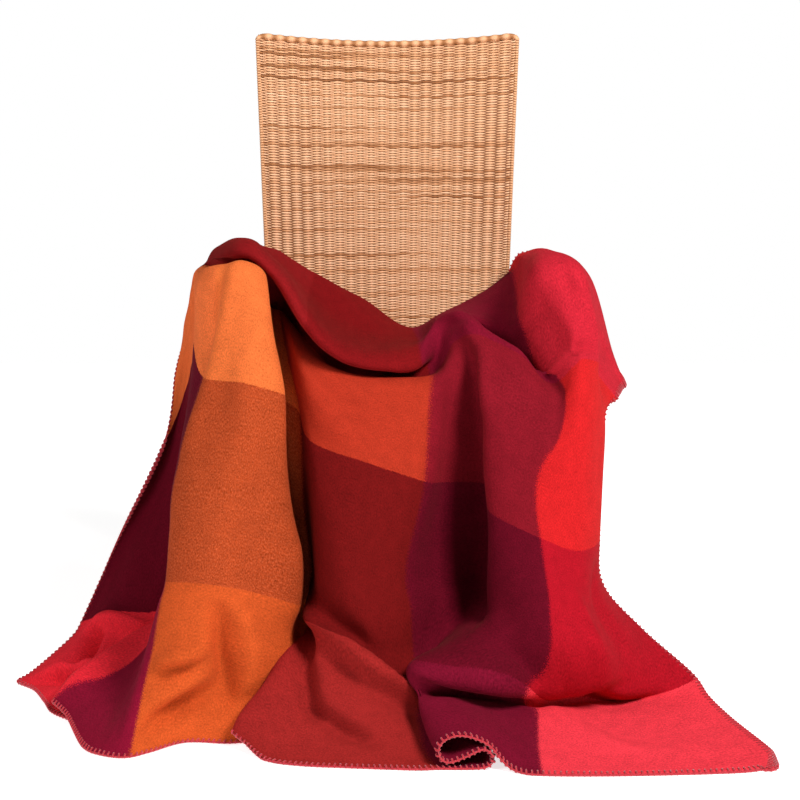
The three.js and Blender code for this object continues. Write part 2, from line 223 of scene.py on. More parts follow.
def start_of(material, kind, output=0, **settings):
    """The first value of a finish, such as an attribute or the object's own coordinates."""
    node = material.node_tree.nodes.new(kind)
    for name, setting in settings.items():
        setattr(node, name, setting)
    return Value(material.node_tree, node.outputs[output])


def feed(shader, socket, value):
    """Joins a worked-out value to a socket of the shader."""
    value.tree.links.new(value.socket, shader.inputs[socket])


def roughen(shader, height, strength, depth):
    """Makes the surface look raised where the height is larger, by up to so many metres."""
    bump = height.node("ShaderNodeBump", None, {"Strength": strength, "Distance": depth, "Height": height})
    feed(shader, "Normal", bump)


def linear(red, green, blue):
    """A colour as seen on a screen, 0 to 255, as the amounts of light that a shader works with."""
    share = np.array([red, green, blue]) / 255
    light = np.where(share <= 0.04045, share / 12.92, ((share + 0.055) / 1.055) ** 2.4)
    return (*light.tolist(), 1.0)

# %% [markdown]
# ## How the blanket lies
#
# Cloth thrown over a chair hangs from what holds it, the arms and the seat, and folds where there is too
# much of it. It could be dropped by a cloth simulation, but then nobody chooses where the folds come. Here
# the drape is given row by row: each row follows one line across the cloth, and says where a few places of
# that line lie. Smooth curves join the places across the cloth, and then from row to row.

# %% The laid rows
CHECKS_ACROSS = 6
CHECKS_ALONG = 5
FLAT_ACROSS = 1550
FLAT_ALONG = 1250
BLANKET_THICKNESS = 4
CORNER_RADIUS = 45
LAID_ROWS = [
    {"along": 0, "points": [
        [0, -552, -115, 2], [0.19, -516, -147, 2], [0.44, -489, -206, 2], [0.63, -471, -250, 2],
        [0.8, -440, -283, 4], [0.87, -436, -276, 14], [1, -468, -258, 21], [1.12, -442, -299, 14],
        [1.45, -405, -395, 3], [1.72, -374, -426, 2], [2, -341, -434, 2], [2.15, -313, -414, 2],
        [2.37, -268, -375, 2], [2.6, -209, -379, 2], [2.78, -163, -366, 3], [2.85, -157, -372, 15],
        [3, -203, -397, 27], [3.08, -186, -412, 15], [3.27, -155, -447, 2], [3.42, -111, -464, 2],
        [3.64, -49, -472, 2], [3.9, 37, -480, 2], [4, 68, -478, 2], [4.11, 105, -478, 2],
        [4.19, 133, -478, 5], [4.23, 142, -478, 17], [4.28, 129, -478, 29], [4.36, 106, -478, 19],
        [4.44, 81, -478, 11], [4.49, 69, -478, 25], [4.55, 78, -478, 42], [4.62, 102, -478, 48],
        [4.72, 134, -478, 36], [4.82, 156, -483, 12], [4.9, 175, -492, 3], [5, 201, -500, 2],
        [5.37, 295, -501, 2], [5.8, 425, -493, 2], [5.95, 505, -480, 2], [6, 523, -445, 2]]},
    {"along": 0.25, "points": [
        [0, -532, -92, 6], [0.35, -482, -140, 18], [0.63, -440, -205, 14], [0.8, -409, -242, 9],
        [0.88, -410, -228, 28], [1, -444, -224, 47], [1.15, -410, -270, 38], [1.5, -374, -335, 34],
        [1.75, -352, -382, 40], [2, -334, -402, 42], [2.3, -268, -366, 50], [2.6, -198, -358, 44],
        [2.78, -150, -342, 24], [2.86, -142, -346, 40], [3, -186, -384, 56], [3.12, -160, -412, 42],
        [3.4, -95, -435, 22], [3.75, -20, -440, 22], [4, 48, -432, 10], [4.17, 114, -420, 10],
        [4.24, 126, -415, 22], [4.31, 108, -418, 34], [4.42, 74, -426, 27], [4.49, 54, -432, 40],
        [4.57, 68, -440, 59], [4.68, 112, -444, 57], [4.84, 158, -438, 32], [5, 200, -438, 16],
        [5.4, 300, -440, 6], [5.75, 405, -425, 4], [6, 508, -388, 3]]},
    {"along": 0.6, "points": [
        [0, -500, -55, 26], [0.35, -440, -95, 56], [0.6, -404, -128, 44], [0.85, -372, -142, 40],
        [0.95, -382, -150, 58], [1.05, -392, -165, 76], [1.25, -350, -195, 72], [1.6, -326, -285, 96],
        [2, -320, -350, 118], [2.3, -250, -382, 126], [2.6, -178, -352, 112], [2.78, -130, -300, 86],
        [2.88, -114, -268, 74], [2.98, -120, -276, 95], [3.08, -147, -330, 100], [3.2, -114, -374, 80],
        [3.5, -45, -405, 66], [3.75, 5, -395, 60], [4, 42, -372, 48], [4.18, 92, -345, 40],
        [4.26, 88, -335, 60], [4.36, 52, -366, 74], [4.44, 35, -394, 88], [4.55, 64, -398, 86],
        [4.7, 112, -362, 64], [4.85, 160, -342, 48], [5, 207, -345, 32], [5.4, 300, -368, 14],
        [5.75, 390, -350, 8], [6, 480, -292, 6]]},
    {"along": 0.85, "points": [
        [0, -472, -36, 50], [0.4, -414, -80, 82], [0.8, -350, -108, 80], [1, -338, -120, 98],
        [1.25, -300, -120, 122], [1.6, -288, -222, 148], [2, -308, -318, 175], [2.3, -245, -362, 184],
        [2.6, -180, -350, 168], [2.78, -136, -290, 132], [2.9, -126, -230, 122],
        [3.02, -108, -230, 122], [3.14, -106, -318, 118], [3.5, -30, -372, 108], [3.75, 8, -366, 98],
        [4, 42, -345, 88], [4.2, 76, -310, 82], [4.29, 70, -306, 100], [4.38, 46, -345, 106],
        [4.5, 50, -386, 112], [4.65, 98, -396, 102], [4.8, 150, -388, 84], [5, 218, -312, 42],
        [5.4, 310, -240, 14], [5.75, 388, -232, 12], [6, 458, -226, 16]]},
    {"along": 1, "points": [
        [0, -460, -30, 70], [0.45, -400, -70, 95], [0.85, -336, -90, 105], [1.25, -268, -62, 150],
        [1.6, -268, -190, 180], [2, -300, -300, 205], [2.3, -240, -350, 215], [2.6, -180, -335, 200],
        [2.78, -122, -272, 165], [2.9, -122, -198, 152], [3.02, -102, -196, 148],
        [3.16, -92, -292, 143], [3.5, -28, -345, 130], [3.75, 6, -335, 124], [4, 36, -312, 116],
        [4.3, 80, -270, 112], [4.5, 92, -330, 125], [4.65, 125, -350, 126], [4.8, 165, -345, 108],
        [5, 220, -330, 66], [5.4, 300, -300, 44], [5.75, 376, -230, 34], [6, 440, -180, 36]]},
    {"along": 1.25, "points": [
        [0, -430, -15, 136], [0.45, -378, -30, 170], [0.85, -322, -48, 192], [1.25, -270, -50, 226],
        [1.6, -266, -155, 248], [2, -295, -282, 272], [2.3, -230, -335, 280], [2.6, -172, -318, 266],
        [2.78, -119, -264, 230], [2.9, -126, -180, 218], [3.02, -104, -178, 210],
        [3.15, -90, -272, 202], [3.5, -32, -322, 185], [4, 34, -300, 168], [4.2, 80, -238, 160],
        [4.36, 132, -186, 152], [4.5, 153, -236, 152], [4.58, 140, -290, 152], [4.7, 160, -328, 148],
        [5, 222, -350, 128], [5.4, 296, -322, 108], [5.75, 348, -215, 92], [6, 372, -140, 90]]},
    {"along": 1.5, "points": [
        [0, -400, 0, 205], [0.45, -355, 12, 248], [0.85, -308, -8, 283], [1.25, -272, -38, 305],
        [1.6, -264, -120, 320], [2, -290, -260, 340], [2.35, -215, -320, 345], [2.6, -166, -300, 335],
        [2.76, -133, -252, 297], [2.9, -138, -166, 284], [3.02, -110, -163, 274],
        [3.14, -90, -262, 258], [3.5, -35, -300, 235], [4, 28, -288, 220], [4.2, 78, -222, 208],
        [4.36, 134, -168, 196], [4.5, 156, -210, 190], [4.58, 142, -265, 190], [4.7, 162, -304, 186],
        [5, 220, -335, 185], [5.4, 275, -310, 170], [5.75, 305, -200, 160], [6, 316, -110, 150]]},
    {"along": 2, "points": [
        [0, -335, 20, 340], [0.5, -305, 40, 410], [0.9, -288, 20, 462], [1.3, -280, -20, 502],
        [1.6, -274, -95, 516], [1.8, -270, -152, 508], [2, -250, -208, 474], [2.4, -192, -264, 475],
        [2.68, -144, -242, 455], [2.86, -152, -172, 438], [2.98, -124, -170, 420],
        [3.1, -104, -230, 388], [3.5, -30, -262, 365], [4, 52, -250, 335], [4.2, 90, -198, 322],
        [4.36, 138, -160, 312], [4.48, 158, -190, 302], [4.56, 142, -244, 298], [4.68, 158, -276, 288],
        [5, 215, -300, 265], [5.4, 265, -285, 245], [5.75, 300, -190, 235], [6, 312, -80, 225]]},
    {"along": 2.65, "points": [
        [0, -320, 60, 435], [0.5, -300, 65, 515], [1, -286, 40, 572], [1.3, -280, -10, 590],
        [1.6, -262, -118, 602], [1.8, -256, -192, 614], [2, -232, -238, 622], [2.3, -192, -252, 630],
        [2.55, -163, -230, 612], [2.72, -176, -150, 578], [2.88, -174, -75, 548], [3, -152, -85, 540],
        [3.1, -138, -160, 528], [3.22, -114, -206, 500], [3.5, -50, -214, 470], [4, 60, -206, 460],
        [4.2, 90, -185, 458], [4.35, 126, -166, 452], [4.45, 147, -188, 452], [4.54, 135, -227, 455],
        [4.68, 160, -244, 440], [4.82, 192, -254, 422], [5, 232, -268, 400], [5.3, 272, -262, 410],
        [5.7, 305, -190, 400], [6, 318, -70, 390]]},
    {"along": 3, "points": [
        [0, -312, 95, 470], [0.5, -302, 82, 535], [1, -288, 57, 588], [1.5, -264, 0, 606],
        [1.75, -246, -100, 611], [2, -214, -146, 611], [2.25, -196, -146, 604],
        [2.45, -184, -118, 594], [2.7, -184, -65, 568], [2.9, -158, -40, 540], [3.05, -134, -90, 530],
        [3.2, -108, -138, 506], [3.5, -52, -140, 462], [4, 62, -140, 462], [4.3, 100, -142, 514],
        [4.5, 132, -166, 524], [4.75, 182, -194, 506], [5, 234, -222, 470], [5.3, 266, -250, 505],
        [5.6, 293, -200, 492], [5.78, 296, -110, 470], [6, 338, -50, 415]]},
    {"along": 3.1, "points": [
        [0, -312, 108, 455], [0.5, -302, 96, 522], [1, -288, 72, 580], [1.5, -265, 8, 611],
        [1.75, -242, -88, 628], [2, -214, -128, 636], [2.25, -194, -128, 634], [2.45, -180, -108, 624],
        [2.7, -164, -75, 602], [2.9, -142, -62, 574], [3.05, -122, -90, 556], [3.2, -100, -122, 538],
        [3.5, -52, -128, 492], [4, 56, -124, 482], [4.25, 88, -108, 526], [4.45, 120, -132, 540],
        [4.68, 165, -146, 512], [4.9, 208, -168, 484], [5.05, 226, -206, 480], [5.25, 252, -234, 514],
        [5.6, 292, -195, 514], [5.78, 297, -108, 488], [6, 341, -38, 418]]},
    {"along": 3.2, "points": [
        [0, -313, 122, 440], [0.5, -303, 110, 508], [1, -289, 88, 572], [1.5, -266, 20, 612],
        [1.75, -236, -125, 632], [2, -212, -182, 640], [2.25, -188, -202, 640], [2.5, -160, -209, 617],
        [2.75, -132, -216, 580], [3, -110, -222, 545], [3.25, -82, -226, 515], [3.5, -50, -220, 493],
        [3.75, -2, -206, 483], [4, 48, -176, 486], [4.2, 74, -92, 534], [4.42, 110, -108, 548],
        [4.62, 150, -82, 498], [4.85, 190, -112, 468], [5.05, 220, -184, 478], [5.2, 238, -216, 522],
        [5.35, 262, -232, 542], [5.6, 292, -190, 535], [5.78, 298, -105, 505], [6, 345, -25, 420]]},
    {"along": 3.35, "points": [
        [0, -314, 143, 412], [0.5, -303, 132, 484], [1, -289, 111, 558], [1.5, -267, 58, 612],
        [1.75, -238, -62, 641], [2, -211, -138, 658], [2.25, -187, -165, 660], [2.5, -160, -178, 640],
        [2.75, -133, -188, 606], [3, -110, -195, 572], [3.25, -82, -200, 540], [3.5, -50, -194, 516],
        [3.75, -2, -178, 504], [4, 46, -138, 508], [4.22, 76, -62, 538], [4.45, 115, -76, 545],
        [4.7, 158, -78, 508], [4.9, 188, -114, 500], [5.1, 208, -175, 545], [5.22, 224, -200, 578],
        [5.38, 254, -208, 588], [5.58, 286, -186, 570], [5.76, 298, -102, 528], [6, 351, -3, 423]]},
    {"along": 3.5, "points": [
        [0, -315, 165, 385], [0.5, -304, 155, 460], [1, -290, 135, 545], [1.5, -268, 95, 608],
        [1.75, -242, 30, 630], [2, -210, 0, 644], [2.5, -165, 0, 622], [3, -112, 15, 570],
        [3.5, -44, 15, 512], [4, 46, 5, 494], [4.25, 80, -36, 532], [4.5, 122, -46, 540],
        [4.8, 166, -72, 528], [5, 188, -120, 545], [5.15, 198, -165, 598], [5.25, 214, -182, 628],
        [5.4, 246, -182, 630], [5.55, 278, -180, 606], [5.75, 298, -100, 550], [6, 358, 20, 425]]},
    {"along": 4, "points": [
        [0, -325, 235, 270], [0.5, -312, 228, 365], [1, -296, 214, 480], [1.5, -272, 185, 588],
        [1.75, -242, 160, 616], [2, -210, 130, 626], [2.5, -165, 100, 612], [3, -115, 100, 581],
        [3.5, -38, 130, 540], [4, 35, 146, 494], [4.5, 110, 115, 530], [5, 186, 20, 592],
        [5.15, 203, -15, 624], [5.3, 238, -60, 635], [5.65, 300, -20, 590], [6, 352, 90, 430]]},
    {"along": 4.35, "points": [
        [0, -328, 275, 205], [0.5, -314, 268, 312], [1, -298, 258, 435], [1.5, -274, 230, 558],
        [1.65, -262, 218, 596], [1.8, -236, 190, 614], [2, -210, 155, 618], [2.25, -186, 146, 600],
        [2.5, -165, 132, 568], [3, -112, 125, 532], [3.5, -35, 145, 484], [4, 38, 148, 464],
        [4.5, 112, 130, 490], [5, 184, 75, 574], [5.15, 201, 50, 610], [5.3, 238, 20, 622],
        [5.65, 305, 45, 572], [6, 345, 120, 425]]},
    {"along": 5, "points": [
        [0, -320, 320, 140], [0.5, -312, 312, 260], [1, -296, 300, 385], [1.5, -270, 270, 540],
        [1.75, -246, 248, 594], [1.9, -224, 224, 610], [2.1, -200, 188, 608], [2.3, -182, 165, 570],
        [2.5, -162, 122, 512], [3, -95, 20, 457], [3.5, -20, -60, 453], [4, 50, -50, 453],
        [4.5, 120, 40, 460], [5, 182, 150, 560], [5.15, 199, 165, 596], [5.25, 215, 178, 607],
        [5.4, 255, 188, 603], [5.5, 282, 185, 574], [5.65, 308, 175, 520], [6, 332, 170, 415]]},
]


def four_around(knots, places):
    """For each place, the four knots around it and its share of the way from the second to the third."""
    second = np.clip(np.searchsorted(knots, places, side="right") - 1, 0, len(knots) - 2)
    four = np.clip(second + np.arange(-1, 3)[:, None], 0, len(knots) - 1)
    return four, (places - knots[second]) / (knots[second + 1] - knots[second])


def through_four(a, b, c, d, t):
    """The smooth curve from b to c whose ways at b and c are half the steps from a to c and from b to d."""
    return b + 0.5 * t * (c - a + t * (2 * a - 5 * b + 4 * c - d + t * (3 * b - a - 3 * c + d)))


def laid_sheet(columns, alongs):
    """Middle of the cloth, in mm from the chair, on the grid of these columns and alongs, in checks."""
    lines = []
    for row in LAID_ROWS:
        table = np.array(row["points"], float)
        four, share = four_around(table[:, 0], columns)
        lines.append(through_four(*table[four][..., 1:], share[:, None]))
    four, share = four_around(np.array([row["along"] for row in LAID_ROWS]), alongs)
    sheet = through_four(*np.array(lines)[four], share[:, None, None])
    sheet[..., 2] = np.maximum(sheet[..., 2], BLANKET_THICKNESS / 2)
    return sheet


def cloth_ways(columns, alongs):
    """The ways across and along the cloth, in mm to a mm of flat cloth, from places a little apart."""
    step = 0.02
    more, less = np.minimum(columns + step, CHECKS_ACROSS), np.maximum(columns - step, 0)
    across = (laid_sheet(more, alongs) - laid_sheet(less, alongs)) / (more - less)[None, :, None]
    more, less = np.minimum(alongs + step, CHECKS_ALONG), np.maximum(alongs - step, 0)
    along = (laid_sheet(columns, more) - laid_sheet(columns, less)) / (more - less)[:, None, None]
    return across * CHECKS_ACROSS / FLAT_ACROSS, along * CHECKS_ALONG / FLAT_ALONG


def corner_shift(columns, alongs):
    """How far, in mm across and along, the places near a corner move in to round it: each square ring
    round the inner end of the corner becomes a quarter circle."""
    from_side = np.minimum(columns, CHECKS_ACROSS - columns)[None, :] * FLAT_ACROSS / CHECKS_ACROSS
    from_hem = np.minimum(alongs, CHECKS_ALONG - alongs)[:, None] * FLAT_ALONG / CHECKS_ALONG
    out_side, out_hem = np.broadcast_arrays(np.maximum(CORNER_RADIUS - from_side, 0),
                                            np.maximum(CORNER_RADIUS - from_hem, 0))
    share = 1 - np.maximum(out_side, out_hem) / np.maximum(np.hypot(out_side, out_hem), 1e-9)
    share = np.where(np.minimum(out_side, out_hem) > 0, share, 0)
    return (out_side * share * np.sign(CHECKS_ACROSS / 2 - columns)[None, :],
            out_hem * share * np.sign(CHECKS_ALONG / 2 - alongs)[:, None])


print("blanket is laid by", sum(len(row["points"]) for row in LAID_ROWS), "places")

# %% [markdown]
# ## Creases and small unevenness
#
# Thick wool that was folded and thrown keeps soft creases between its main folds. Each crease here is a
# straight line on the flat cloth: a swell is a ridge or, below zero, a valley along it, and a step raises
# one side of the line and lowers the other, as where a fold starts to lie over. A few waves that cross at
# odd angles give dents of uneven size. All of it fades out at the hem, which lies flat.

# %% Creases and dents
EDGE_FADE = 0.3
STEP_SCALE = 1.65
CREASES = [
    {"start": (2.94, 1.05), "end": (4.10, 0.58), "width": 15, "swell": 18, "step": 20},
    {"start": (3.04, 1.04), "end": (3.38, 0.42), "width": 12, "swell": -20, "step": 12},
    {"start": (3.10, 1.14), "end": (4.05, 0.76), "width": 15, "swell": -16, "step": 0},
    {"start": (3.24, 0.58), "end": (3.84, 0.26), "width": 12, "swell": -13, "step": 10},
    {"start": (2.40, 0.92), "end": (2.54, 0.22), "width": 13, "swell": -36, "step": 4},
    {"start": (2.56, 0.90), "end": (2.60, 0.34), "width": 13, "swell": 12, "step": 0},
    {"start": (2.08, 0.51), "end": (2.36, 0.60), "width": 10, "swell": 9, "step": 14},
    {"start": (2.36, 0.50), "end": (2.08, 0.30), "width": 13, "swell": 14, "step": 0},
    {"start": (2.46, 0.36), "end": (2.04, 0.14), "width": 13, "swell": -24, "step": 0},
    {"start": (2.24, 2.75), "end": (2.02, 1.60), "width": 15, "swell": 9, "step": 0},
    {"start": (2.10, 2.70), "end": (1.96, 2.05), "width": 12, "swell": -8, "step": 0},
    {"start": (2.26, 1.75), "end": (2.36, 0.70), "width": 32, "swell": 5, "step": 0},
    {"start": (0.42, 0.36), "end": (0.26, 0.84), "width": 11, "swell": -32, "step": 4},
    {"start": (0.14, 0.84), "end": (0.86, 0.86), "width": 15, "swell": 14, "step": 6},
    {"start": (0.08, 0.12), "end": (1.04, 0.70), "width": 11, "swell": -14, "step": 24},
    {"start": (4.40, 0.52), "end": (5.04, 0.78), "width": 11, "swell": -24, "step": 4},
    {"start": (4.80, 0.66), "end": (5.64, 1.10), "width": 11, "swell": -14, "step": 0},
    {"start": (4.38, 0.74), "end": (5.12, 1.04), "width": 24, "swell": 13, "step": 0},
    {"start": (4.96, 0.80), "end": (5.60, 0.20), "width": 18, "swell": 8, "step": 0},
    {"start": (4.30, 2.20), "end": (4.10, 1.02), "width": 36, "swell": -12, "step": 0},
    {"start": (4.42, 3.25), "end": (4.56, 2.50), "width": 14, "swell": 8, "step": 0},
    {"start": (4.70, 3.22), "end": (5.12, 2.86), "width": 12, "swell": -9, "step": 0},
    {"start": (2.30, 3.52), "end": (3.80, 3.46), "width": 22, "swell": -8, "step": 0},
    {"start": (2.70, 4.00), "end": (3.75, 3.60), "width": 24, "swell": 6, "step": 0},
    {"start": (5.42, 3.70), "end": (5.58, 2.95), "width": 14, "swell": 9, "step": 0},
    {"start": (5.06, 3.55), "end": (5.32, 2.90), "width": 14, "swell": -8, "step": 0},
    {"start": (3.20, 2.85), "end": (3.62, 2.20), "width": 24, "swell": -4, "step": 3},
    {"start": (3.30, 2.05), "end": (3.42, 1.05), "width": 34, "swell": 5, "step": 0},
    {"start": (5.20, 2.60), "end": (5.30, 1.30), "width": 24, "swell": -4, "step": 0},
    {"start": (5.26, 1.80), "end": (5.44, 1.04), "width": 13, "swell": 8, "step": 0},
    {"start": (5.68, 1.90), "end": (5.58, 1.10), "width": 14, "swell": -9, "step": 0},
]
DENTS = [
    {"across": 2.1, "along": 1.3, "start": 0.4, "depth": 1.0},
    {"across": -1.2, "along": 2.3, "start": 2.0, "depth": 0.9},
    {"across": 3.4, "along": -1.9, "start": 4.1, "depth": 0.6},
    {"across": 1.7, "along": 4.2, "start": 5.2, "depth": 0.4},
    {"across": 5.3, "along": 2.9, "start": 1.1, "depth": 0.3},
]


def crease_lift(columns, alongs):
    """Sum of the creases in mm: a bell across the line for the swell, the bell's slope for the step, scaled
    so that it rises by the step one width from the line, both fading towards the line's ends."""
    size = np.array([FLAT_ACROSS / CHECKS_ACROSS, FLAT_ALONG / CHECKS_ALONG])
    flat = np.stack(np.meshgrid(columns, alongs), axis=-1) * size
    total = np.zeros(flat.shape[:2])
    for crease in CREASES:
        start, end = np.array(crease["start"]) * size, np.array(crease["end"]) * size
        way = (end - start) / np.linalg.norm(end - start)
        share = (flat - start) @ way / np.linalg.norm(end - start)
        beside = (flat - start) @ np.array([-way[1], way[0]]) / crease["width"]
        fade = np.sin(np.pi * np.clip(share, 0, 1)) ** 0.7
        total += fade * np.exp(-beside**2 / 2) * (crease["swell"] + STEP_SCALE * crease["step"] * beside)
    return total


def soft_dents(columns, alongs):
    """Sum of the waves, in mm, each over so many half turns to a check."""
    total = np.zeros((len(alongs), len(columns)))
    for dent in DENTS:
        turns = dent["across"] * columns[None, :] + dent["along"] * alongs[:, None]
        total += dent["depth"] * np.sin(np.pi * turns + dent["start"])
    return total


def cloth(columns, alongs, rise=0.0):
    """Points of the blanket in metres: the laid sheet with rounded corners and with its creases and dents,
    which fade out over the last part of a check before the edges, raised by so many mm from its middle."""
    edge = np.minimum(np.minimum(columns, CHECKS_ACROSS - columns)[None, :],
                      np.minimum(alongs, CHECKS_ALONG - alongs)[:, None])
    fade = np.clip(edge / EDGE_FADE, 0, 1)
    lift = (crease_lift(columns, alongs) + soft_dents(columns, alongs)) * fade + rise
    across, along = cloth_ways(columns, alongs)
    shift_across, shift_along = corner_shift(columns, alongs)
    sheet = laid_sheet(columns, alongs) + lift[..., None] * unit(np.cross(across, along))
    sheet += shift_across[..., None] * across + shift_along[..., None] * along
    sheet[..., 2] = np.maximum(sheet[..., 2], BLANKET_THICKNESS / 2 + rise + 0.2)
    return chair + sheet * MM


print("blanket has", len(CREASES), "creases and", len(DENTS), "waves of dents")

# %% [markdown]
# ## Wool in checks
#
# The cloth is woven in six broad stripes across and five along, and each crossing gives its own mixed
# colour. The colours are charted here, a row of checks to a line. Where two colours meet, the
# fibres of the raised nap reach some millimetres over the border, so the borders are broken by fine noise,
# more so between columns than between rows.

# %% The colour chart
FRAY_ACROSS = 34
FRAY_ALONG = 6
CHART = [
    [(215, 38, 50), (122, 14, 40), (186, 76, 32), (140, 32, 30), (106, 12, 35), (216, 53, 65)],
    [(92, 8, 25), (90, 10, 29), (155, 57, 22), (102, 15, 15), (91, 8, 26), (158, 16, 30)],
    [(214, 98, 50), (214, 102, 52), (210, 102, 50), (160, 45, 27), (120, 18, 30), (187, 29, 31)],
    # The last check of this row, the crimson one over the right arm, is charted a little darker than its own
    # colour: part of it is painted shade.
    [(124, 20, 22), (124, 20, 22), (126, 20, 23), (116, 15, 18), (116, 14, 36), (178, 31, 45)],
    [(172, 50, 32), (166, 44, 28), (160, 40, 28), (166, 44, 28), (92, 12, 30), (192, 33, 40)],
]

wool, wool_shader = new_finish("wool", {
    "Roughness": 0.95, "Specular IOR Level": 0.04,
    "Sheen Weight": 0.03, "Sheen Roughness": 0.4, "Sheen Tint": linear(255, 150, 120)})
place = start_of(wool, "ShaderNodeAttribute", "Vector", attribute_name="cloth_mm")
frayed = place.noise(0.7, 3.0, output="Color")
fray_x, fray_y, _ = frayed.parts()
across_mm, along_mm, _ = place.parts()
column = (across_mm + FRAY_ACROSS * (fray_x - 0.5)) * (CHECKS_ACROSS / FLAT_ACROSS)
along = (along_mm + FRAY_ALONG * (fray_y - 0.5)) * (CHECKS_ALONG / FLAT_ALONG)

colour = None
for number, line in enumerate(CHART):
    stops = [(k / CHECKS_ACROSS, entry) for k, entry in enumerate(line)]
    stripe = (column * (1 / CHECKS_ACROSS)).ramp(stops, "CONSTANT")
    colour = stripe if colour is None else colour.mixed(stripe, along.above(float(number)))
print("wool: charted", CHECKS_ACROSS * CHECKS_ALONG, "checks")

# %% [markdown]
# Milled wool is spun from fibres dyed in more than one shade, and the raised nap lies in small tufts. From
# a step away that shows as a fine mottling, and up close as short hairs. The mottling changes the colour,
# and the same tufts and hairs make the bump. The rust check is spun from a dark and a pale wool, so it also
# has pale hairs.

# %% Mottling and nap
TUFTS_A_MM = 0.36
HAIRS_A_MM = 0.8
tufts = place.noise(TUFTS_A_MM, 5.0)
hairs = place.noise(HAIRS_A_MM, 3.0, (1.0, 0.5, 1.0))
clouds = place.noise(0.05, 3.0)
rust_check = column.above(2.0) * (3.0 - column).above(0.0) * along.above(1.0) * (2.0 - along).above(0.0)
mottle = -0.18 + 1.1 * tufts + 0.86 * hairs + 0.4 * clouds
mottle = mottle + rust_check * (tufts - 0.5) * 0.2
pale_hair = linear(216, 116, 78)
flecked = colour.mixed(pale_hair, rust_check * (hairs - 0.4) * 0.8)
feed(wool_shader, "Base Color", flecked.brightened(mottle))
nap = tufts * 0.7 + hairs * 0.5
roughen(wool_shader, nap, 0.6, 0.0015)
print(f"wool: tufts {1 / TUFTS_A_MM:.1f} mm, hairs {1 / HAIRS_A_MM:.1f} mm apart")

# %% [markdown]
# ## The blanket
#
# A blanket this thick has a face, an underside and a rounded edge, so it is a closed sheet and not a bare
# surface. Every point keeps its place on the flat cloth in an attribute, which the finish reads: the checks
# then follow the folds as they do on the real cloth. Wool gives where it is pulled, so a few short pulls
# shift the checks sideways or lengthways by two to eight centimetres.

# %% Blanket
FINE_ACROSS = 252
FINE_ALONG = 180
PULLS = [
    {"column": 1.2, "along": 0.65, "wide": 0.5, "long": 0.35, "sideways": -75, "lengthways": 0},
    {"column": 5.0, "along": 0.90, "wide": 0.6, "long": 0.20, "sideways": 30, "lengthways": 0},
    {"column": 5.0, "along": 2.30, "wide": 0.6, "long": 0.30, "sideways": 24, "lengthways": 0},
    {"column": 5.0, "along": 2.80, "wide": 0.6, "long": 0.20, "sideways": -26, "lengthways": 0},
    {"column": 4.2, "along": 0.84, "wide": 0.6, "long": 0.30, "sideways": 0, "lengthways": 50},
    {"column": 5.4, "along": 0.90, "wide": 0.5, "long": 0.24, "sideways": 0, "lengthways": 32},
]


def closed_sheet(face, underside):
    """Corners and faces of a sheet from two grids of points, joined along their edges."""
    rows, columns = face.shape[:2]
    top = np.arange(rows * columns).reshape(rows, columns)
    low = top + rows * columns
    quads = np.stack([top[:-1, :-1], top[:-1, 1:], top[1:, 1:], top[1:, :-1]], axis=-1).reshape(-1, 4)
    under = np.stack([low[:-1, :-1], low[1:, :-1], low[1:, 1:], low[:-1, 1:]], axis=-1).reshape(-1, 4)
    loop = np.concatenate([top[0, :-1], top[:-1, -1], top[-1, :0:-1], top[:0:-1, 0]])
    after = np.roll(loop, -1)
    rim = np.stack([loop, loop + rows * columns, after + rows * columns, after], axis=-1)
    return np.concatenate([face.reshape(-1, 3), underside.reshape(-1, 3)]), [quads, under, rim]


columns = np.linspace(0, CHECKS_ACROSS, FINE_ACROSS + 1)
alongs = np.linspace(0, CHECKS_ALONG, FINE_ALONG + 1)
half = BLANKET_THICKNESS / 2
points, faces = closed_sheet(cloth(columns, alongs, half), cloth(columns, alongs, -half))
flat_x, flat_y = np.meshgrid(columns * FLAT_ACROSS / CHECKS_ACROSS, alongs * FLAT_ALONG / CHECKS_ALONG)
for pull in PULLS:
    beside = (columns[None, :] - pull["column"]) / pull["wide"]
    past = (alongs[:, None] - pull["along"]) / pull["long"]
    near = np.exp(-beside**2 - past**2)
    flat_x += pull["sideways"] * near
    flat_y += pull["lengthways"] * near
flat = np.stack([flat_x, flat_y, np.zeros_like(flat_x)], axis=-1).reshape(-1, 3)
blanket = add_piece("blanket_cloth", points, faces, wool, cloth_mm=np.concatenate([flat, flat]))
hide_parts("blanket")

# %% [markdown]
# ## Blanket stitch
#
# The edge is sewn over with red wool yarn: a stitch every 7.5 mm goes through the cloth 8.5 mm
# in, comes round the edge and is caught by the next, so a line of yarn runs along the rim. Each
# leg is a short tube from the face round the edge to the underside, and the line is one long tube.
# The laid curves take up a little more or less cloth than the flat edge has, so the stitches are counted
# along the laid edge: otherwise they would crowd where it is short.

# %% Yarn
STITCH_PITCH = 7.5
STITCH_DEPTH = 8.5
YARN_RADIUS = 1.4
YARN_SIDES = 5

yarn, yarn_shader = new_finish("stitching yarn", {
    "Roughness": 0.9, "Sheen Weight": 0.3, "Specular IOR Level": 0.2})
yarn_place = start_of(yarn, "ShaderNodeTexCoord", "Object")
yarn_tone = yarn_place.noise(900.0, 2.0)
feed(yarn_shader, "Base Color", yarn_tone.ramp([(0.3, (146, 24, 36)), (0.7, (196, 48, 60))]))
twist = yarn_place.noise(1400.0, 1.0)
roughen(yarn_shader, twist, 0.4, 0.0005)


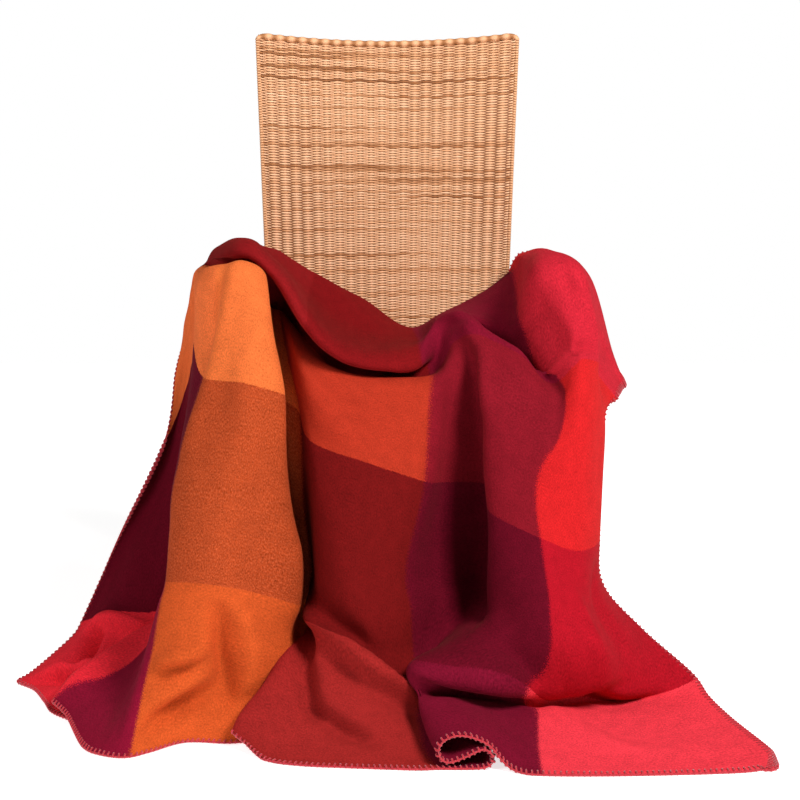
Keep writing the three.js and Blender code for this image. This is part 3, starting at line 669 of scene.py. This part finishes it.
def edge_line(spots, depth, rise, side):
    """Points at places 0 to 1 along one edge of the cloth, so many mm in from it and raised by so many mm."""
    if side in ("front", "back"):
        inset = depth * CHECKS_ALONG / FLAT_ALONG
        along = inset if side == "front" else CHECKS_ALONG - inset
        return cloth(spots * CHECKS_ACROSS, np.array([along]), rise)[0]
    inset = depth * CHECKS_ACROSS / FLAT_ACROSS
    column = inset if side == "left" else CHECKS_ACROSS - inset
    return cloth(np.array([column]), spots * CHECKS_ALONG, rise)[:, 0]


def even_spots(side):
    """Places along an edge that lie one stitch apart on the laid cloth: the length so far is summed along a
    fine line, and the places are read off it at equal lengths."""
    fine = np.linspace(0, 1, 2001)
    pieces = np.linalg.norm(np.diff(edge_line(fine, 0.0, 0.0, side), axis=0), axis=1) / MM
    so_far = np.concatenate([[0.0], np.cumsum(pieces)])
    count = int(so_far[-1] / STITCH_PITCH)
    print(f"{side} edge: {so_far[-1]:.0f} mm as laid, {count} stitches")
    return np.interp((np.arange(count) + 0.5) / count * so_far[-1], so_far, fine)


def stitch_legs(side):
    """Paths of the legs: in at the face, along it to the edge, round the rim and back on the underside."""
    spots = even_spots(side)
    over = half + 0.5 * YARN_RADIUS
    route = [(STITCH_DEPTH, half - 1.2), (STITCH_DEPTH - 0.8, over), (STITCH_DEPTH / 2, over), (0.6, over),
             (0.0, half), (0.0, -half), (0.6, -over), (STITCH_DEPTH / 2, -over), (STITCH_DEPTH, -half + 1.2)]
    legs = np.stack([edge_line(spots, depth, rise, side) for depth, rise in route], axis=1)
    outward = unit(legs[:, 3] - legs[:, 2])[:, None] * MM
    legs[:, 4:6] += outward * YARN_RADIUS
    legs[..., 2] = np.maximum(legs[..., 2], YARN_RADIUS * MM)
    return legs


leg_paths = []
rim_points = []
for side in ("front", "right", "back", "left"):
    legs = stitch_legs(side)
    leg_paths.append(legs)
    line = (legs[:, 4] + legs[:, 5]) / 2
    rim_points.append(line if side in ("front", "right") else line[::-1])
leg_paths = np.concatenate(leg_paths)
leg_lift = unit(leg_paths[:, 1:2] - leg_paths[:, 0:1])
leg_lift = np.broadcast_to(unit(np.cross(leg_lift, leg_paths[:, 3:4] - leg_paths[:, 1:2])), leg_paths.shape)
points, faces = tubes(leg_paths, leg_lift, YARN_RADIUS * MM, YARN_RADIUS * MM, YARN_SIDES)
stitches = add_piece("stitch_legs", points, faces, yarn)
rim_path = np.concatenate(rim_points)[None]
nearly_up = np.array([0.02, 0.03, 1.0])
points, faces = tubes(rim_path, nearly_up, YARN_RADIUS * MM, YARN_RADIUS * MM, YARN_SIDES)
rim_yarn = add_piece("stitch_rim", points, faces, yarn)

# %% [markdown]
# ## The woven back
#
# The chair's back is woven like a basket: upright stakes about 17 mm apart, and thin weavers that pass in
# front of one stake and behind the next, each row the other way round from the one below. A painted grid
# looks flat from the side, so the strands are really woven: every weaver is a flattened tube on a wave.

# %% The back's surface
SEAT_TOP = 440
BACK_TOP = 952
BACK_DIP = 14
BACK_FOOT_HALF_WIDTH = 188
BACK_TOP_HALF_WIDTH = 209
BACK_THICKNESS = 22
BACK_FOOT_Y = 180
BACK_LEAN = 85
BACK_HOLLOW = 18
PIECE_GAP = 0.3
TO_THE_FRONT = np.array([0.0, -1.0, 0.0])


def back_surface(side, up, depth, rise=0.0):
    """Points of the back in metres: side runs from -1 to 1 across, up from 0 at the seat to 1 at the top.
    The width grows upwards, the top dips in the middle, the whole leans back and is hollow across."""
    side, up, depth, rise = np.broadcast_arrays(side, up, depth, rise)
    foot = SEAT_TOP + PIECE_GAP
    half_width = BACK_FOOT_HALF_WIDTH + (BACK_TOP_HALF_WIDTH - BACK_FOOT_HALF_WIDTH) * up
    top = BACK_TOP - BACK_DIP * (1 - side**2)
    y = BACK_FOOT_Y + BACK_THICKNESS / 2 + up * (BACK_LEAN - BACK_HOLLOW * side**2) + depth
    return chair + np.stack([side * half_width, y, foot + up * (top - foot) + rise], axis=-1) * MM


print("back is", 2 * BACK_TOP_HALF_WIDTH, "mm wide at the top and", BACK_TOP - SEAT_TOP, "mm high")

# %% [markdown]
# Wicker is peeled willow or rattan, pale where it is new and brown where the skin was left on. Each strand
# has its own tone, which changes slowly along it, so the weave shows uneven darker streaks. The strand's
# tone, with any painted shade of the weave added to it, is kept in an attribute, and fine fibres run along
# it.

# %% Wicker finish
STRAW = [(0.05, (120, 70, 34)), (0.3, (172, 112, 66)), (0.55, (222, 164, 118)), (0.9, (240, 192, 152))]
wicker, wicker_shader = new_finish("wicker", {"Roughness": 0.55, "Specular IOR Level": 0.35})
strand = start_of(wicker, "ShaderNodeAttribute", "Vector", attribute_name="strand")
tone, _, _ = strand.parts()
wicker_place = start_of(wicker, "ShaderNodeTexCoord", "Object")
drift = strand.noise(0.02, 2.0)
fibres = wicker_place.noise(1.0, 2.0, (60, 60, 1500))
shade = tone + 0.5 * (drift - 0.5) + 0.25 * (fibres - 0.5)
feed(wicker_shader, "Base Color", shade.ramp(STRAW))
roughen(wicker_shader, fibres, 0.25, 0.0006)
print("wicker:", len(STRAW), "tones from brown skin to pale straw")

# %% [markdown]
# The weavers are laid in pairs cut from the same rod. About every fifth pair has its brown skin left on for a
# part of its length, and that part fades out at both ends. A row wanders up and down a little, since it is
# beaten down by hand. Where a weaver passes behind a stake it is in the shade, so its tone is darker there.

# %% Weavers and stakes
STAKES = 24
STAKE_PITCH = 17
WEAVER_ROWS = 250
STEPS_A_STAKE = 2
WEAVE_SWING = 2.0
WEAVER_SIDES = 6
WOVEN_SIDE = 0.978
STAKE_LOW = 0.004
STAKE_HIGH = 0.982
BROWN_EVERY = 5
rng = np.random.default_rng(7)

stake = np.linspace(0, STAKES - 1, (STAKES - 1) * STEPS_A_STAKE + 1)
side = (2 * stake / (STAKES - 1) - 1) * WOVEN_SIDE
row = np.arange(WEAVER_ROWS)[:, None]
up = (row + 0.8) / (WEAVER_ROWS + 4)
swing = np.cos(np.pi * (stake + row))
wander = 2.4 * np.sin(3.1 * side + 3 * up) + 0.9 * np.sin(8 * side - 4 * up)
paths = back_surface(side, up, -WEAVE_SWING * swing, wander * np.sin(np.pi * up) ** 0.5)
points, faces = tubes(paths, TO_THE_FRONT,
                      (0.75 + 1.2 * swing**2) * MM, (0.75 + 0.25 * swing**2) * MM, WEAVER_SIDES)
row_tone = 0.81 - 0.16 * up**2 + 0.05 * rng.standard_normal((WEAVER_ROWS, 1))
pair = np.arange(WEAVER_ROWS) // 2
pairs = WEAVER_ROWS // 2
brown_turn = (np.arange(pairs) + rng.integers(0, 3, pairs)) % BROWN_EVERY
brown_row = rng.uniform(0.16, 0.44, pairs) * (brown_turn == 0)
brown_middle, brown_reach = rng.uniform(-1, 1, pairs), rng.uniform(0.4, 1.5, pairs)
brown_part = np.exp(-((side - brown_middle[pair, None]) / brown_reach[pair, None]) ** 4)
weaver_tone = row_tone - brown_row[pair, None] * brown_part - 0.1 * (swing < 0)
strand_place = np.stack(np.broadcast_arrays(
    weaver_tone[..., None], STAKE_PITCH * stake[None, :, None] + 900.0 * row[:, :, None],
    np.zeros((1, 1, WEAVER_SIDES))), axis=-1)
weavers = add_piece("back_weavers", points, faces, wicker, strand=strand_place)
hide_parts("back_panel")

stake_side = np.linspace(-WOVEN_SIDE, WOVEN_SIDE, STAKES)[:, None]
stake_paths = back_surface(stake_side, np.linspace(STAKE_LOW, STAKE_HIGH, 24), 0.0)
points, faces = tubes(stake_paths, TO_THE_FRONT, 2.2 * MM, 1.0 * MM, 6)
stakes = add_piece("back_stakes", points, faces, wicker, strand=np.full(points.shape, 0.26))

# %% [markdown]
# Between the weavers the real back isn't open: the weavers are beaten down on each other, and what shows in
# the gaps is the shaded inside of the weave. A thin layer in the middle of the weave closes the gaps; it has
# the darkest brown of the straw, which is painted shade for the inside of the weave.
# Along the sides the weavers are wound round the outermost stake, so the edge is a row of small beads. The
# beads are pale and the crevices between them dark brown, which is painted shade. The top ends in a border of
# stakes bent over and laid along the edge, which swells at every stake; each swell is painted lighter and
# each dip between them darker, which is painted light and shade.

# %% Inside of the weave, wound sides and border
FILL_SIDE = 0.972
WOUND_SIDE = 0.983
WOUND_HEIGHT = 0.972
BORDER_SIDE = 0.985
BORDER_UP = 0.984
fill_side = np.linspace(-FILL_SIDE, FILL_SIDE, 33)
fill_up = np.linspace(STAKE_LOW, STAKE_HIGH, 41)[:, None]
points, faces = closed_sheet(back_surface(fill_side, fill_up, -0.3), back_surface(fill_side, fill_up, 0.3))
# The layer's darkest brown tone, 0.05, is painted shade for the inside of the weave.
inside = add_piece("back_inside", points, faces, wicker, strand=np.full(points.shape, 0.05))

turns = np.linspace(0, WEAVER_ROWS / 2, WEAVER_ROWS * 2 + 1)
wound_up = STAKE_LOW + WOUND_HEIGHT * turns / turns[-1]
wound_paths = back_surface(np.array([[-WOUND_SIDE], [WOUND_SIDE]]), wound_up, 0.0)
bead = np.abs(np.sin(np.pi * turns))[None]
points, faces = tubes(wound_paths, TO_THE_FRONT, (2.6 + 0.9 * bead) * MM, (3.2 + 0.9 * bead) * MM, 8)
# Pale on each bead and dark brown between the beads: the dark between them is painted shade in the crevices.
bead_crevice_shade = np.broadcast_to((0.7 * bead)[..., None, None], (*points.shape[:3], 3))
wound = add_piece("back_wound_sides", points, faces, wicker, strand=bead_crevice_shade)

border_stake = np.linspace(0, STAKES - 1, (STAKES - 1) * 8 + 1)
border_side = (2 * border_stake / (STAKES - 1) - 1) * BORDER_SIDE
tuck = np.clip((1 - np.abs(border_side / BORDER_SIDE)) / 0.05, 0, 1)
border_path = back_surface(border_side, BORDER_UP - 0.012 * (1 - tuck) ** 2, 0.0)[None]
swell = (4.9 + 0.6 * np.cos(2 * np.pi * border_stake)) * (0.6 + 0.4 * tuck)
points, faces = tubes(border_path, TO_THE_FRONT, swell[None] * MM, 1.25 * swell[None] * MM, 12)
# Lighter on each swell and darker between the swells, in step with the swell's size: painted light and shade.
border_swell_shade = (0.46 + 0.22 * np.cos(2 * np.pi * border_stake))[None, :, None, None]
border_swell_shade = np.broadcast_to(border_swell_shade, (*points.shape[:3], 3))
border = add_piece("back_border", points, faces, wicker, strand=border_swell_shade)

# %% [markdown]
# ## The rest of the chair
#
# The blanket hides the seat and the arms nearly everywhere. What shows of them from the sides and the rear
# keeps the solid's shape and gets the same straw colours in a plain over-and-under weave, and the posts and
# rails are bare cane: smooth, darker, and streaked along their length.

# %% Seat, arms, posts and rails
BLOCK_ROW_PITCH = 4.1
block, block_shader = new_finish("woven block", {"Roughness": 0.6, "Specular IOR Level": 0.3})
block_place = start_of(block, "ShaderNodeTexCoord", "Object")
x, y, z = block_place.parts()
level = (z * (np.pi / (BLOCK_ROW_PITCH * MM))).wave()
upright = ((x + y) * (np.pi / (STAKE_PITCH * MM))).wave()
weave = level * upright
grain = block_place.noise(1.0, 2.0, (40, 40, 300))
# The weave term makes the tone lighter where the bump is raised and darker where it is low: painted light and
# shade. The grain term is the cane's own colour.
block_grain_and_weave_shade = 0.5 + 0.22 * weave + 0.5 * (grain - 0.5)
block_colour = block_grain_and_weave_shade.ramp([(0.1, (128, 82, 44)), (0.45, (200, 144, 94)), (0.9, (238, 186, 140))])
feed(block_shader, "Base Color", block_colour)
roughen(block_shader, weave, 0.6, 0.0015)

cane, cane_shader = new_finish("bare cane", {"Roughness": 0.42, "Specular IOR Level": 0.4})
cane_place = start_of(cane, "ShaderNodeTexCoord", "Object")
streaks = cane_place.noise(1.0, 4.0, (420, 420, 9))
cane_colour = streaks.ramp([(0.3, (150, 98, 54)), (0.55, (196, 140, 88)), (0.75, (214, 160, 106))])
feed(cane_shader, "Base Color", cane_colour)
roughen(cane_shader, streaks, 0.2, 0.0008)


def dress(names, material):
    """Gives the solids of these names a finish in place of their plain one."""
    for name in names:
        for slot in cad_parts[name].material_slots:
            slot.material = material
    print("finished:", ", ".join(names))


dress(["seat", "arm_left", "arm_right"], block)
dress([name for name in sorted(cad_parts) if name.startswith(("post_", "rail_"))], cane)

# %% [markdown]
# ## Floor and light
#
# The photograph is a studio picture on white: a soft light from the right front and above, and a weaker one
# from the left that keeps the folds readable. Two square lamps do the same. The floor is white paper that
# glows a little, as an overexposed backdrop does, and the room behind it is white to the camera alone.

# %% Floor and light
ROOM_LIGHT = 0.12
FLOOR_REACH = 3.0
FLOOR_GLOW = 0.7
floor_mesh = bpy.data.meshes.new("floor")
floor_corners = [(x * FLOOR_REACH, y * FLOOR_REACH, 0) for x, y in ((-1, -1), (1, -1), (1, 1), (-1, 1))]
floor_mesh.from_pydata(floor_corners, [], [(0, 1, 2, 3)])
paper, _ = new_finish("white paper", {
    "Roughness": 0.9, "Base Color": linear(250, 250, 250),
    "Emission Color": linear(255, 255, 255), "Emission Strength": FLOOR_GLOW})
floor_mesh.materials.append(paper)
floor = bpy.data.objects.new("floor", floor_mesh)
bpy.context.scene.collection.objects.link(floor)

world = bpy.data.worlds.new("studio")
world.use_nodes = True
room = world.node_tree.nodes["Background"]
room.inputs["Color"].default_value = (1.0, 1.0, 1.0, 1.0)
ray = world.node_tree.nodes.new("ShaderNodeLightPath")
seen = world.node_tree.nodes.new("ShaderNodeMapRange")
seen.inputs["To Min"].default_value = ROOM_LIGHT
world.node_tree.links.new(ray.outputs["Is Camera Ray"], seen.inputs["Value"])
world.node_tree.links.new(seen.outputs["Result"], room.inputs["Strength"])
bpy.context.scene.world = world
bpy.context.scene.view_settings.view_transform = "Standard"


def soft_lamp(name, place, target, size, power):
    """A square lamp at a place in metres from the chair, facing a target."""
    data = bpy.data.lights.new(name, "AREA")
    data.size = size
    data.energy = power
    lamp = bpy.data.objects.new(name, data)
    way = np.array(target) - np.array(place)
    lamp.location = chair + np.array(place)
    tilt = np.arctan2(np.hypot(way[0], way[1]), -way[2])
    lamp.rotation_euler = (tilt, 0, np.arctan2(way[1], way[0]) - np.pi / 2)
    bpy.context.scene.collection.objects.link(lamp)
    print(f"{name} lamp: {power} W, {size} m wide")


soft_lamp("key", (2.2, -2.6, 3.6), (0, 0, 0.3), 1.3, 250)
soft_lamp("fill", (-3.0, -2.6, 3.0), (0, 0, 0.4), 2.0, 82)
